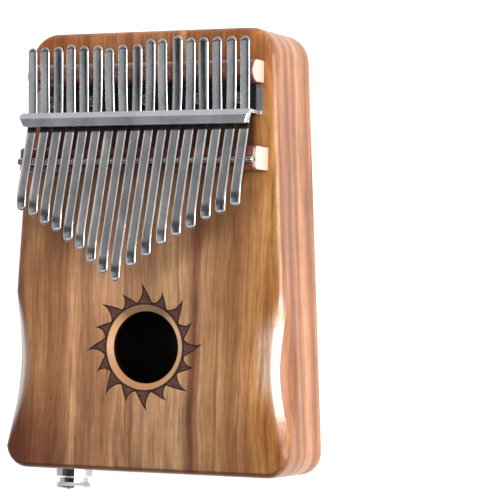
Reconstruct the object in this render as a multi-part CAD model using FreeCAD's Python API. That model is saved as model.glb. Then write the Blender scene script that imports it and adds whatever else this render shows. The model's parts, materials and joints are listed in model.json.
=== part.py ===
import FreeCAD, Part
import math
import os

# Box mbira (17-key thumb piano) with an end-pin pickup jack, in millimetres.
# Frame: the back face lies on z = 0, +Z comes out of the front face, +Y runs along the body
# towards the tails of the tines, +X is to the player's right. The origin is the middle of the back.

Vec = FreeCAD.Vector

# ---- body ----
BODY_LENGTH = 185.0
TOP_WIDTH = 114.0
BOTTOM_WIDTH = 134.0
BODY_DEPTH = 36.0
BOARD_THICKNESS = 4.0
BACK_THICKNESS = 4.0
WALL = 9.0
TOP_CORNER_R = 12.5
BOTTOM_CORNER_R = 10.0
INNER_CORNER_R = 4.0
FRONT_EDGE_R = 3.0
BACK_EDGE_R = 2.0

# ---- thumb scallops on the two long front edges ----
SCALLOP_Y = -51.0
SCALLOP_HALF_LENGTH = 36.0
SCALLOP_MID_R = 14.0
SCALLOP_END_R = 2.5
SCALLOP_STATIONS = 6

# ---- sound hole and the sun engraved round it ----
HOLE_Y = -40.2
HOLE_R = 15.15
HOLE_CHAMFER_R = 17.6
HOLE_CHAMFER_DEPTH = 1.6
FLAME_COUNT = 16
ENGRAVED_RING_R = (17.95, 19.1)
FLAME_ROOT_R = 19.0
FLAME_LONG_R = 27.5
FLAME_SHORT_R = 25.0
FLAME_HALF_ANGLE = 10.6
FLAME_LEAN = 4.5
ENGRAVING_DEPTH = 0.25

# ---- tines ----
TINE_COUNT = 17
TINE_PITCH = 6.2
TINE_WIDTH = 4.3
TINE_THICKNESS = 1.0
TINE_END_R = 1.9
TINE_RISE_DEG = 15.1
TINE_TAIL_DEG = 2.57
TINE_BEND_R = 30.0
TINE_TIP_R = 30.0
TINE_TIP_DROOP_DEG = 5.0
SPLIT_Y = 37.2
SPLIT_GAP = 0.06
SEMITONES_ABOVE_LOWEST = [26, 23, 19, 16, 12, 9, 5, 2, 0, 4, 7, 11, 14, 17, 21, 24, 28]
LONGEST_SPEAKING = 55.7
TIP_LENGTH_CORRECTION = 5.4
TAIL_END_LEFT_Y = 85.2
TAIL_END_RIGHT_Y = 87.1
TAIL_END_SPECIAL_Y = {4: 86.0, 7: 84.0, 12: 88.1}

# ---- bridges (heights are above the front face) ----
ROD_Y = 37.0
ROD_R = 1.5
ROD_HEIGHT = 12.83
ROD_HALF_LENGTH = 54.6
FRONT_BRIDGE_Y = (32.6, 43.0)
FRONT_BRIDGE_HEIGHT = 12.25
FRONT_BRIDGE_HALF = 55.3
FRONT_BRIDGE_EDGE_R = 2.2
BRIDGE_CORNER_R = 1.0
REAR_BRIDGE_Y = (68.6, 78.6)
REAR_BRIDGE_CROWN = 10.83
REAR_BRIDGE_HALF = 52.8

# ---- clamp bracket ----
FLANGE_Y = (56.0, 68.5)
FLANGE_HALF = 53.0
FLANGE_THICKNESS = 1.7
FLANGE_CORNER_R = 3.0
COMB_Y = (56.0, 57.4)
COMB_TOP = 12.2
COMB_HALF = 52.6
WINDOW_WIDTH = 4.8
WINDOW_TOP = 11.75
LIP_FRONT_Y = 51.5
LIP_TOP = 15.0
LIP_NOSE_Y = 53.5
LIP_REAR_Y = 57.4
LIP_REAR_X = (-54.8, 53.3)
LIP_FRONT_X = (-51.9, 51.5)
LIP_SLOPE_Y = 2.4
LIP_SLOPE_DROP = 1.4
LIP_CORNER_R = 1.5
LIP_EDGE_R = 0.5
NOSE_CLEARANCE = 0.03

# ---- bracket screws ----
SCREW_Y = 63.0
SCREW_PITCHES = [-7, -4, 0, 4, 7]
SCREW_HEAD_R = 3.2
SCREW_HEAD_HEIGHT = 2.5
SCREW_SHANK_R = 1.5
SCREW_HOLE_R = 1.6
SCREW_LENGTH = 16.0

# ---- blocks glued under the front board ----
TINE_BLOCK_Y = (54.0, 72.0)
TINE_BLOCK_HALF = 48.0
TINE_BLOCK_DEPTH = 14.0
BRACE_Y = (31.0, 45.0)
BRACE_HALF = 49.5
BRACE_DEPTH = 8.0

# ---- end-pin jack on the bottom end, axis along Y ----
JACK_X = -42.5
JACK_Z = BODY_DEPTH / 2.0
BARREL_R = 5.7
BORE_R = 3.25
BARREL_Y = (-101.4, -64.0)
BARREL_HOLE_R = 5.8
CAP_Y = (-101.6, -96.8)
CAP_NECK_R = 6.6
CAP_FLANGE_R = 7.8
OUTER_NUT_R = 8.25
OUTER_NUT_END_Y = -96.8
WASHER_R = 8.2
WASHER_THICKNESS = 1.0
INNER_NUT_FLATS = 14.0
INNER_NUT_THICKNESS = 3.0
HOUSING_Y = (-64.0, -50.0)
HOUSING_R = 6.6
HOUSING_BORE_R = 5.3
HOUSING_FLOOR = 2.0
LUG_LENGTH = 5.0
LUG_WIDTH = 2.6
LUG_THICKNESS = 0.4
LUG_OFFSET = 1.25

# ---- pickup under the front board ----
PIEZO_XY = (-36.5, 16.0)
PIEZO_R = 13.5
CERAMIC_R = 10.0
PAD_THICKNESS = 0.3
DISC_THICKNESS = 0.3
CERAMIC_THICKNESS = 0.25
CABLE_D = 1.8
CLIP_HOLE_CLEARANCE = 0.3

FACE_Z = BODY_DEPTH
BOARD_Z = FACE_Z - BOARD_THICKNESS
TOP_Y = BODY_LENGTH / 2.0
BOTTOM_Y = -BODY_LENGTH / 2.0
TAPER = (BOTTOM_WIDTH - TOP_WIDTH) / 2.0 / BODY_LENGTH
TAPER_DEG = math.degrees(math.atan(TAPER))
RISE = math.radians(TINE_RISE_DEG)
TAIL_SLOPE = math.radians(TINE_TAIL_DEG)
DROOP = math.radians(TINE_TIP_DROOP_DEG)


def half_width(y):
    """Half of the body's width at a place along its length."""
    return TOP_WIDTH / 2.0 + TAPER * (TOP_Y - y)


def box(x0, x1, y0, y1, z0, z1):
    return Part.makeBox(x1 - x0, y1 - y0, z1 - z0, Vec(x0, y0, z0))


def prism(points, direction):
    """A straight prism on a closed polygon."""
    wire = Part.makePolygon([Vec(*p) for p in points] + [Vec(*points[0])])
    return Part.Face(wire).extrude(direction)


def is_vertical(edge):
    a, b = edge.Vertexes[0].Point, edge.Vertexes[-1].Point
    return abs(a.x - b.x) < 1e-6 and abs(a.y - b.y) < 1e-6 and abs(a.z - b.z) > 1e-6


def round_vertical(shape, radius, chosen):
    edges = [e for e in shape.Edges if is_vertical(e) and chosen(e.Vertexes[0].Point)]
    return shape.makeFillet(radius, edges)


def edges_at_z(shape, z):
    return [e for e in shape.Edges if abs(e.BoundBox.ZMin - z) < 1e-4 and abs(e.BoundBox.ZMax - z) < 1e-4]


def body_prism(inset, z0, z1, top_r, bottom_r):
    """The body's tapered outline with rounded corners, moved inwards by inset."""
    side = inset / math.cos(math.radians(TAPER_DEG))
    y0, y1 = BOTTOM_Y + inset, TOP_Y - inset
    x0, x1 = half_width(y0) - side, half_width(y1) - side
    solid = prism([(-x0, y0, z0), (x0, y0, z0), (x1, y1, z0), (-x1, y1, z0)], Vec(0, 0, z1 - z0))
    solid = round_vertical(solid, top_r, lambda p: p.y > 0)
    return round_vertical(solid, bottom_r, lambda p: p.y < 0)


def scallop_section(side, part):
    """One section of the scallop tool, a square corner with a round inside: part runs -1 to 1
    along the scallop, and the round is largest in the middle."""
    y = SCALLOP_Y + part * SCALLOP_HALF_LENGTH
    size = SCALLOP_END_R + (SCALLOP_MID_R - SCALLOP_END_R) * (1.0 - part * part) ** 1.5
    radius = size * 1.005
    centre_x = half_width(y) - size
    centre_z = FACE_Z - size
    far_x = half_width(y) + 4.0
    far_z = FACE_Z + 4.0
    slant = radius * math.sqrt(0.5)

    def at(x, z):
        return Vec(side * x, y, z)

    low = at(centre_x + radius, centre_z)
    high = at(centre_x, centre_z + radius)
    corners = [high, at(centre_x, far_z), at(far_x, far_z), at(far_x, centre_z), low]
    edges = [Part.LineSegment(a, b).toShape() for a, b in zip(corners, corners[1:])]
    edges.append(Part.Arc(low, at(centre_x + slant, centre_z + slant), high).toShape())
    return Part.Wire(edges)


def scallop_cutter(side):
    """The tool that rolls one long front edge over for the thumb: a rounding that swells from
    the plain edge's radius to a large one and back."""
    count = 2 * SCALLOP_STATIONS
    wires = [scallop_section(side, k / SCALLOP_STATIONS - 1.0) for k in range(count + 1)]
    return Part.makeLoft(wires, True, False)


def polar(radius, degrees, z=0.0):
    a = math.radians(degrees)
    return Vec(radius * math.cos(a), HOLE_Y + radius * math.sin(a), z)


def flame(angle, tip_r, z):
    """One flame of the sun: two arcs from a broad root to a leaning point."""
    mid_r = FLAME_ROOT_R + 0.45 * (tip_r - FLAME_ROOT_R)
    tip = polar(tip_r, angle + FLAME_LEAN, z)
    left = polar(FLAME_ROOT_R, angle - FLAME_HALF_ANGLE, z)
    right = polar(FLAME_ROOT_R, angle + FLAME_HALF_ANGLE, z)
    edges = [
        Part.Arc(left, polar(mid_r, angle - 2.9, z), tip).toShape(),
        Part.Arc(tip, polar(mid_r - 0.7, angle + 4.2, z), right).toShape(),
        Part.Arc(right, polar(FLAME_ROOT_R, angle, z), left).toShape(),
    ]
    return Part.Face(Part.Wire(edges))


def sun_cutter():
    inner_r, outer_r = ENGRAVED_RING_R
    low = Vec(0, HOLE_Y, FACE_Z - ENGRAVING_DEPTH)
    ring = Part.makeCylinder(outer_r, 2.0, low).cut(Part.makeCylinder(inner_r, 2.0, low))
    tools = [ring]
    for k in range(FLAME_COUNT):
        tip_r = FLAME_LONG_R if k % 2 == 0 else FLAME_SHORT_R
        face = flame(k * 360.0 / FLAME_COUNT, tip_r, FACE_Z - ENGRAVING_DEPTH)
        tools.append(face.extrude(Vec(0, 0, 2.0)))
    return tools


def screw_places():
    return [(n * TINE_PITCH, SCREW_Y) for n in SCREW_PITCHES]


def soundboard():
    board = body_prism(0.0, BOARD_Z, FACE_Z, TOP_CORNER_R, BOTTOM_CORNER_R)
    board = board.makeFillet(FRONT_EDGE_R, edges_at_z(board, FACE_Z))
    tools = [scallop_cutter(1), scallop_cutter(-1)]
    tools.append(Part.makeCylinder(HOLE_R, BODY_DEPTH, Vec(0, HOLE_Y, 0)))
    tools.append(Part.makeCone(HOLE_R, HOLE_CHAMFER_R, HOLE_CHAMFER_DEPTH,
                               Vec(0, HOLE_Y, FACE_Z - HOLE_CHAMFER_DEPTH)))
    for x, y in screw_places():
        tools.append(Part.makeCylinder(SCREW_HOLE_R, BODY_DEPTH, Vec(x, y, 0)))
    for tool in tools + sun_cutter():
        board = board.cut(tool)
    return board


def body_frame():
    """The routed walls between the front board and the back."""
    outer = body_prism(0.0, BACK_THICKNESS, BOARD_Z, TOP_CORNER_R, BOTTOM_CORNER_R)
    inner = body_prism(WALL, BACK_THICKNESS, BOARD_Z, INNER_CORNER_R, INNER_CORNER_R)
    frame = outer.cut(inner)
    for side in (1, -1):
        frame = frame.cut(scallop_cutter(side))
    hole = Part.makeCylinder(BARREL_HOLE_R, 3 * WALL, Vec(JACK_X, BOTTOM_Y - WALL, JACK_Z), Vec(0, 1, 0))
    return frame.cut(hole)


def back_plate():
    plate = body_prism(0.0, 0.0, BACK_THICKNESS, TOP_CORNER_R, BOTTOM_CORNER_R)
    return plate.makeFillet(BACK_EDGE_R, edges_at_z(plate, 0.0))


def tine_block():
    block = box(-TINE_BLOCK_HALF, TINE_BLOCK_HALF, *TINE_BLOCK_Y, BOARD_Z - TINE_BLOCK_DEPTH, BOARD_Z)
    for x, y in screw_places():
        block = block.cut(Part.makeCylinder(SCREW_SHANK_R, BODY_DEPTH, Vec(x, y, 0)))
    return block


def bridge_brace():
    brace = box(-BRACE_HALF, BRACE_HALF, *BRACE_Y, BOARD_Z - BRACE_DEPTH, BOARD_Z)
    lower = [e for e in edges_at_z(brace, BOARD_Z - BRACE_DEPTH) if e.BoundBox.XLength > BRACE_HALF]
    return brace.makeFillet(2.0, lower)


def front_bridge_rod():
    start = Vec(-ROD_HALF_LENGTH, ROD_Y, FACE_Z + ROD_HEIGHT)
    rod = Part.makeCylinder(ROD_R, 2 * ROD_HALF_LENGTH, start, Vec(1, 0, 0))
    ends = [e for e in rod.Edges if e.BoundBox.XLength < 1e-6]
    return rod.makeChamfer(0.3, ends)


def front_bridge():
    top = FACE_Z + FRONT_BRIDGE_HEIGHT
    bridge = box(-FRONT_BRIDGE_HALF, FRONT_BRIDGE_HALF, *FRONT_BRIDGE_Y, FACE_Z, top)
    bridge = round_vertical(bridge, BRIDGE_CORNER_R, lambda p: True)
    bridge = bridge.makeFillet(FRONT_BRIDGE_EDGE_R, edges_at_z(bridge, top))
    groove = Part.makeCylinder(ROD_R + 0.02, 2 * ROD_HALF_LENGTH + 4,
                               Vec(-ROD_HALF_LENGTH - 2, ROD_Y, FACE_Z + ROD_HEIGHT), Vec(1, 0, 0))
    return bridge.cut(groove)


def rear_bridge():
    """A bar with a half-round crown that the tails of the tines rest on."""
    y0, y1 = REAR_BRIDGE_Y
    r = (y1 - y0) / 2.0
    shoulder = FACE_Z + REAR_BRIDGE_CROWN - r
    x0 = -REAR_BRIDGE_HALF

    def at(y, z):
        return Vec(x0, y, z)

    edges = [
        Part.LineSegment(at(y0, FACE_Z), at(y1, FACE_Z)).toShape(),
        Part.LineSegment(at(y1, FACE_Z), at(y1, shoulder)).toShape(),
        Part.Arc(at(y1, shoulder), at((y0 + y1) / 2, shoulder + r), at(y0, shoulder)).toShape(),
        Part.LineSegment(at(y0, shoulder), at(y0, FACE_Z)).toShape(),
    ]
    bridge = Part.Face(Part.Wire(edges)).extrude(Vec(2 * REAR_BRIDGE_HALF, 0, 0))
    ends = [e for e in bridge.Edges if e.BoundBox.XLength < 1e-6 and e.BoundBox.ZMax > FACE_Z + 0.1]
    return bridge.makeFillet(BRIDGE_CORNER_R, ends)


def tine_x(number):
    return (number - (TINE_COUNT + 1) / 2) * TINE_PITCH


def tip_y(number):
    """Tip of a tine. Speaking length goes with the square root of the period of its note."""
    octave_part = 2.0 ** (-SEMITONES_ABOVE_LOWEST[number - 1] / 24.0)
    return ROD_Y - (LONGEST_SPEAKING * octave_part - TIP_LENGTH_CORRECTION)


def tail_y(number):
    plain = TAIL_END_LEFT_Y if number <= 9 else TAIL_END_RIGHT_Y
    return TAIL_END_SPECIAL_Y.get(number, plain)


# the tine's centre line crosses the rod here, one hair above the metal
TINE_AT_ROD = FACE_Z + ROD_HEIGHT + (ROD_R + TINE_THICKNESS / 2 + 0.037) / math.cos(RISE)


def line_height(y):
    """Height of the straight rising part of every tine's centre line."""
    return TINE_AT_ROD + (ROD_Y - y) * math.tan(RISE)


def ribbon(start, heading, moves, thickness, x0, width):
    """A bent strip of even thickness. It starts at (y, z), heads at an angle from +Y towards +Z,
    and goes through moves: ("line", length) or ("arc", radius, turn), turn > 0 to the left."""
    half = thickness / 2.0
    sides = {1: [], -1: []}
    ends = []
    y, z = start

    def offset(side, py, pz, angle):
        return Vec(x0, py - side * half * math.sin(angle), pz + side * half * math.cos(angle))

    ends.append(Part.LineSegment(offset(-1, y, z, heading), offset(1, y, z, heading)).toShape())
    for move in moves:
        if move[0] == "line":
            ny, nz = y + move[1] * math.cos(heading), z + move[1] * math.sin(heading)
            for side in sides:
                a, b = offset(side, y, z, heading), offset(side, ny, nz, heading)
                sides[side].append(Part.LineSegment(a, b).toShape())
            y, z = ny, nz
        else:
            radius, turn = move[1], move[2]
            sign = 1.0 if turn > 0 else -1.0
            cy = y - sign * radius * math.sin(heading)
            cz = z + sign * radius * math.cos(heading)

            def on_arc(angle):
                return cy + sign * radius * math.sin(angle), cz - sign * radius * math.cos(angle)

            middle, last = heading + turn / 2, heading + turn
            for side in sides:
                a = offset(side, y, z, heading)
                m = offset(side, *on_arc(middle), middle)
                b = offset(side, *on_arc(last), last)
                sides[side].append(Part.Arc(a, m, b).toShape())
            y, z = on_arc(last)
            heading = last
    ends.append(Part.LineSegment(offset(-1, y, z, heading), offset(1, y, z, heading)).toShape())
    wire = Part.Wire(Part.__sortEdges__(ends + sides[1] + sides[-1]))
    return Part.Face(wire).extrude(Vec(width, 0, 0)), (y, z)


def rounded_plan(x, y0, y1, round_low):
    """Plan outline of a tine between two places, with one end rounded."""
    half = TINE_WIDTH / 2.0
    plan = box(x - half, x + half, y0, y1, FACE_Z, FACE_Z + 60)
    end = y0 if round_low else y1
    return round_vertical(plan, TINE_END_R, lambda p: abs(p.y - end) < 1e-6)


def tine_tail(number):
    """The clamped part of a tine, from the rod back over the rear bridge."""
    x = tine_x(number)
    start_y = SPLIT_Y + SPLIT_GAP / 2 * math.cos(RISE)
    turn = RISE + TAIL_SLOPE
    corner_z = line_height(LIP_NOSE_Y)
    cut_back = TINE_BEND_R * math.tan(turn / 2)
    first = (LIP_NOSE_Y - start_y) / math.cos(RISE) - cut_back
    last = (tail_y(number) - LIP_NOSE_Y) / math.cos(TAIL_SLOPE) - cut_back + 1.0
    moves = [("line", first), ("arc", TINE_BEND_R, turn), ("line", last)]
    strip, _ = ribbon((start_y, line_height(start_y)), -RISE, moves, TINE_THICKNESS,
                      x - TINE_WIDTH / 2, TINE_WIDTH)
    return strip.common(rounded_plan(x, ROD_Y - 5, tail_y(number), False))


def tine_tongue(number):
    """The free part of a tine, from the rod to its tip, where it curves down a little past level."""
    x = tine_x(number)
    start_y = SPLIT_Y - SPLIT_GAP / 2 * math.cos(RISE)
    curved_reach = TINE_TIP_R * (math.sin(RISE) + math.sin(DROOP))
    straight = (start_y - tip_y(number) - curved_reach) / math.cos(RISE)
    moves = [("line", straight), ("arc", TINE_TIP_R, RISE + DROOP), ("line", 0.5)]
    strip, _ = ribbon((start_y, line_height(start_y)), math.pi - RISE, moves, TINE_THICKNESS,
                      x - TINE_WIDTH / 2, TINE_WIDTH)
    return strip.common(rounded_plan(x, tip_y(number), ROD_Y + 5, True))


def nose_height():
    """Underside of the lip where it presses on the tines at their bend."""
    lowest = line_height(LIP_NOSE_Y)
    half_turn = (RISE + TAIL_SLOPE) / 2
    middle = lowest + TINE_BEND_R * (1 / math.cos(half_turn) - 1)
    return middle + TINE_THICKNESS / 2 + NOSE_CLEARANCE


def clamp_bracket():
    """One pressed bracket: a screwed flange, a comb that the tines pass through, and a lip on top."""
    y0, y1 = FLANGE_Y
    flange = box(-FLANGE_HALF, FLANGE_HALF, y0, y1, FACE_Z, FACE_Z + FLANGE_THICKNESS)
    flange = round_vertical(flange, FLANGE_CORNER_R, lambda p: p.y > y1 - 1)
    for x, y in screw_places():
        flange = flange.cut(Part.makeCylinder(SCREW_HOLE_R, 4, Vec(x, y, FACE_Z - 1)))
    comb = box(-COMB_HALF, COMB_HALF, *COMB_Y, FACE_Z, FACE_Z + COMB_TOP)
    half = WINDOW_WIDTH / 2
    for number in range(1, TINE_COUNT + 1):
        x = tine_x(number)
        comb = comb.cut(box(x - half, x + half, COMB_Y[0] - 1, COMB_Y[1] + 1,
                            FACE_Z + FLANGE_THICKNESS, FACE_Z + WINDOW_TOP))
    return flange.fuse(comb).fuse(bracket_lip()).removeSplitter()


def bracket_lip():
    """The pressing lip: flat top, sloped rear edge, round nose under the front, slanted ends."""
    nose_z = nose_height()
    nose_r = LIP_NOSE_Y - LIP_FRONT_Y
    rear, under = LIP_REAR_Y, FACE_Z + WINDOW_TOP
    top = FACE_Z + LIP_TOP
    x0, x1 = LIP_REAR_X
    f0, f1 = LIP_FRONT_X

    def at(y, z):
        return Vec(x0, y, z)

    quarter = nose_r * math.sqrt(0.5)
    corners = [at(LIP_FRONT_Y, nose_z + nose_r), at(LIP_FRONT_Y, top), at(rear - LIP_SLOPE_Y, top),
               at(rear, top - LIP_SLOPE_DROP), at(rear, under), at(COMB_Y[0], under), at(LIP_NOSE_Y, nose_z)]
    edges = [Part.LineSegment(a, b).toShape() for a, b in zip(corners, corners[1:])]
    edges.append(Part.Arc(corners[-1],
                          at(LIP_NOSE_Y - quarter, nose_z + nose_r - quarter), corners[0]).toShape())
    lip = Part.Face(Part.Wire(edges)).extrude(Vec(x1 - x0, 0, 0))
    for rear_x, front_x, out in ((x0, f0, -3.0), (x1, f1, 3.0)):
        low = FACE_Z + 5
        lip = lip.cut(prism([(rear_x, rear, low), (front_x, LIP_FRONT_Y, low),
                             (front_x, LIP_FRONT_Y - 1, low), (front_x + out, LIP_FRONT_Y - 1, low),
                             (rear_x + out, rear, low)], Vec(0, 0, 20)))
    lip = lip.makeFillet(LIP_CORNER_R, [e for e in lip.Edges if is_left_corner(e)])
    return lip.makeFillet(LIP_EDGE_R, [e for e in lip.Edges if is_upper_edge(e, top)])


def is_left_corner(edge):
    """The upright edges of the lip's two rounded left corners."""
    b = edge.BoundBox
    return b.XLength < 0.01 and b.YLength < 0.01 and b.ZLength > 0.3 and b.XMax < 0


def is_upper_edge(edge, top):
    """The edges round the lip's top and the two upright ones of its front corners."""
    b = edge.BoundBox
    on_top = b.ZMin > top - 0.01
    front_corner = b.YMax < LIP_FRONT_Y + 0.01 and b.XLength < 0.01 and b.ZLength > 0.2
    return on_top or front_corner


def screw(x, y):
    """A pan-head wood screw with a cross recess."""
    seat = FACE_Z + FLANGE_THICKNESS
    head = Part.makeCylinder(SCREW_HEAD_R, SCREW_HEAD_HEIGHT, Vec(x, y, seat))
    rim = [e for e in edges_at_z(head, seat + SCREW_HEAD_HEIGHT)]
    head = head.makeFillet(1.3, rim)
    for w, d in ((0.8, 3.4), (3.4, 0.8)):
        head = head.cut(box(x - w / 2, x + w / 2, y - d / 2, y + d / 2,
                            seat + SCREW_HEAD_HEIGHT - 1.2, seat + SCREW_HEAD_HEIGHT + 1))
    shank = Part.makeCylinder(SCREW_SHANK_R, SCREW_LENGTH - 2, Vec(x, y, seat - SCREW_LENGTH + 2))
    point = Part.makeCone(0.2, SCREW_SHANK_R, 2, Vec(x, y, seat - SCREW_LENGTH))
    return head.fuse(shank).fuse(point).removeSplitter()


def bracket_screws():
    return Part.makeCompound([screw(x, y) for x, y in screw_places()])


def turned(profile):
    """A turned piece on the jack's axis, from a closed profile of (radius, y)."""
    wire = Part.makePolygon([Vec(JACK_X + r, y, JACK_Z) for r, y in profile + profile[:1]])
    return Part.Face(wire).revolve(Vec(JACK_X, 0, JACK_Z), Vec(0, 1, 0), 360)


def jack_barrel():
    y0, y1 = BARREL_Y
    return turned([(BORE_R + 0.5, y0), (BARREL_R - 0.3, y0), (BARREL_R, y0 + 0.3), (BARREL_R, y1),
                   (BORE_R, y1), (BORE_R, y0 + 0.5)])


def jack_strap_cap():
    """The outer button: a neck and a flared rim, on the end of the barrel."""
    inner = BARREL_R + 0.02
    y0, y1 = CAP_Y
    return turned([(inner, y1), (inner, y0), (CAP_FLANGE_R - 0.6, y0), (CAP_FLANGE_R, y0 + 0.6),
                   (CAP_FLANGE_R, y0 + 1.2), (CAP_NECK_R, y0 + 2.8), (CAP_NECK_R, y1)])


def jack_outer_nut():
    inner = BARREL_R + 0.02
    y0, y1 = OUTER_NUT_END_Y, BOTTOM_Y
    return turned([(inner, y0), (OUTER_NUT_R - 0.7, y0), (OUTER_NUT_R, y0 + 0.7),
                   (OUTER_NUT_R, y1 - 0.3), (OUTER_NUT_R - 0.3, y1), (inner, y1)])


def jack_washer():
    inner = BARREL_R + 0.1
    y0 = BOTTOM_Y + WALL
    y1 = y0 + WASHER_THICKNESS
    return turned([(inner, y0), (WASHER_R, y0), (WASHER_R, y1), (inner, y1)])


def jack_inner_nut():
    y0 = BOTTOM_Y + WALL + WASHER_THICKNESS
    corner = INNER_NUT_FLATS / 2 / math.cos(math.pi / 6)
    points = [(JACK_X + corner * math.cos(k * math.pi / 3), y0, JACK_Z + corner * math.sin(k * math.pi / 3))
              for k in range(6)]
    nut = prism(points, Vec(0, INNER_NUT_THICKNESS, 0))
    return nut.cut(Part.makeCylinder(BARREL_R + 0.02, 10, Vec(JACK_X, y0 - 1, JACK_Z), Vec(0, 1, 0)))


def jack_contact_housing():
    y0, y1 = HOUSING_Y
    floor = y1 - HOUSING_FLOOR
    return turned([(HOUSING_BORE_R, y0), (HOUSING_R, y0), (HOUSING_R, y1 - 0.5), (HOUSING_R - 0.5, y1),
                   (0.0, y1), (0.0, floor), (HOUSING_BORE_R, floor)])


TIP_SPRING_ROOT = (HOUSING_Y[1] - HOUSING_FLOOR - 0.2, JACK_Z + 4.3)


def jack_tip_spring():
    """The leaf that presses on a plug's tip, with a dimple that faces the axis."""
    moves = [("line", 3.2), ("arc", 2.0, math.radians(28)), ("line", 1.6),
             ("arc", 1.0, math.radians(-60)), ("line", 1.4)]
    leaf, _ = ribbon(TIP_SPRING_ROOT, math.pi, moves, 0.3, JACK_X - 1.4, 2.8)
    return leaf


def jack_solder_lugs():
    lugs = []
    for side in (1, -1):
        z = JACK_Z + side * LUG_OFFSET
        lug = box(JACK_X - LUG_WIDTH / 2, JACK_X + LUG_WIDTH / 2, HOUSING_Y[1], HOUSING_Y[1] + LUG_LENGTH,
                  z - LUG_THICKNESS / 2, z + LUG_THICKNESS / 2)
        lugs.append(lug)
    return Part.makeCompound(lugs)


def pickup_disc(radius, above, thickness):
    z = BOARD_Z - above - thickness
    return Part.makeCylinder(radius, thickness, Vec(PIEZO_XY[0], PIEZO_XY[1], z))


CERAMIC_BOTTOM_Z = BOARD_Z - PAD_THICKNESS - DISC_THICKNESS - CERAMIC_THICKNESS
CABLE_Z = CERAMIC_BOTTOM_Z - CABLE_D / 2 - 0.02
CABLE_ROUTE = [
    (JACK_X, HOUSING_Y[1] + 0.5, JACK_Z),
    (JACK_X, -40.0, JACK_Z),
    (JACK_X + 0.7, -31.0, 21.5),
    (JACK_X + 1.9, -21.5, 27.5),
    (JACK_X + 3.5, -12.0, CABLE_Z),
    (JACK_X + 5.0, 4.0, CABLE_Z),
    (PIEZO_XY[0], PIEZO_XY[1], CABLE_Z),
]
CLIP_AT = 4


def cord_path(points):
    """Straight runs joined by tangent arcs, each arc as large as its two runs allow."""
    pts = [Vec(*p) for p in points]
    edges = []
    start = pts[0]
    for before, corner, after in zip(pts, pts[1:], pts[2:]):
        to_before = (before - corner).normalize()
        to_after = (after - corner).normalize()
        turn = math.pi - to_before.getAngle(to_after)
        back = 0.45 * min(before.distanceToPoint(corner), after.distanceToPoint(corner))
        radius = back / math.tan(turn / 2)
        print("cable arc radius %.1f mm" % radius)
        a = corner + to_before * back
        b = corner + to_after * back
        inward = (to_before + to_after).normalize()
        middle = corner + inward * (radius / math.cos(turn / 2) - radius)
        edges.append(Part.LineSegment(start, a).toShape())
        edges.append(Part.Arc(a, middle, b).toShape())
        start = b
    edges.append(Part.LineSegment(start, pts[-1]).toShape())
    return Part.Wire(edges)


def pickup_cable():
    path = cord_path(CABLE_ROUTE)
    start = Vec(*CABLE_ROUTE[0])
    heading = (Vec(*CABLE_ROUTE[1]) - start).normalize()
    ring = Part.Wire(Part.makeCircle(CABLE_D / 2, start, heading))
    tube = path.makePipeShell([ring], True, False)
    section = math.pi * CABLE_D ** 2 / 4
    print("cable volume %.1f, section times length %.1f" % (tube.Volume, section * path.Length))
    return tube


def cable_clip():
    a, b = Vec(*CABLE_ROUTE[CLIP_AT]), Vec(*CABLE_ROUTE[CLIP_AT + 1])
    along = (b - a).normalize()
    middle = (a + b) * 0.5
    body = box(middle.x - 3.0, middle.x + 3.0, middle.y - 2.0, middle.y + 2.0, CABLE_Z - 2.0, BOARD_Z)
    hole = Part.makeCylinder(CABLE_D / 2 + CLIP_HOLE_CLEARANCE, 20, middle - along * 10, along)
    return body.cut(hole)


def all_parts():
    parts = {
        "soundboard": soundboard(),
        "body_frame": body_frame(),
        "back_plate": back_plate(),
        "tine_block": tine_block(),
        "bridge_brace": bridge_brace(),
        "front_bridge": front_bridge(),
        "front_bridge_rod": front_bridge_rod(),
        "rear_bridge": rear_bridge(),
        "clamp_bracket": clamp_bracket(),
        "bracket_screws": bracket_screws(),
        "jack_barrel": jack_barrel(),
        "jack_strap_cap": jack_strap_cap(),
        "jack_outer_nut": jack_outer_nut(),
        "jack_washer": jack_washer(),
        "jack_inner_nut": jack_inner_nut(),
        "jack_contact_housing": jack_contact_housing(),
        "jack_tip_spring": jack_tip_spring(),
        "jack_solder_lugs": jack_solder_lugs(),
        "piezo_pad": pickup_disc(PIEZO_R, 0.0, PAD_THICKNESS),
        "piezo_disc": pickup_disc(PIEZO_R, PAD_THICKNESS, DISC_THICKNESS),
        "piezo_ceramic": pickup_disc(CERAMIC_R, PAD_THICKNESS + DISC_THICKNESS, CERAMIC_THICKNESS),
        "pickup_cable": pickup_cable(),
        "cable_clip": cable_clip(),
    }
    for number in range(1, TINE_COUNT + 1):
        parts["tine_%02d_tail" % number] = tine_tail(number)
        parts["tine_%02d_tongue" % number] = tine_tongue(number)
    return parts


os.makedirs("parts", exist_ok=True)
for name, shape in all_parts().items():
    solids = shape.Solids
    if not shape.isValid() or not solids:
        raise RuntimeError("bad shape: " + name)
    print("%-22s solids %d volume %.1f" % (name, len(solids), shape.Volume))
    shape.exportStep(os.path.join("parts", name + ".step"))
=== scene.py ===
import json
import math
import random

import bmesh
import bpy
from mathutils import Matrix, Vector


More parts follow.
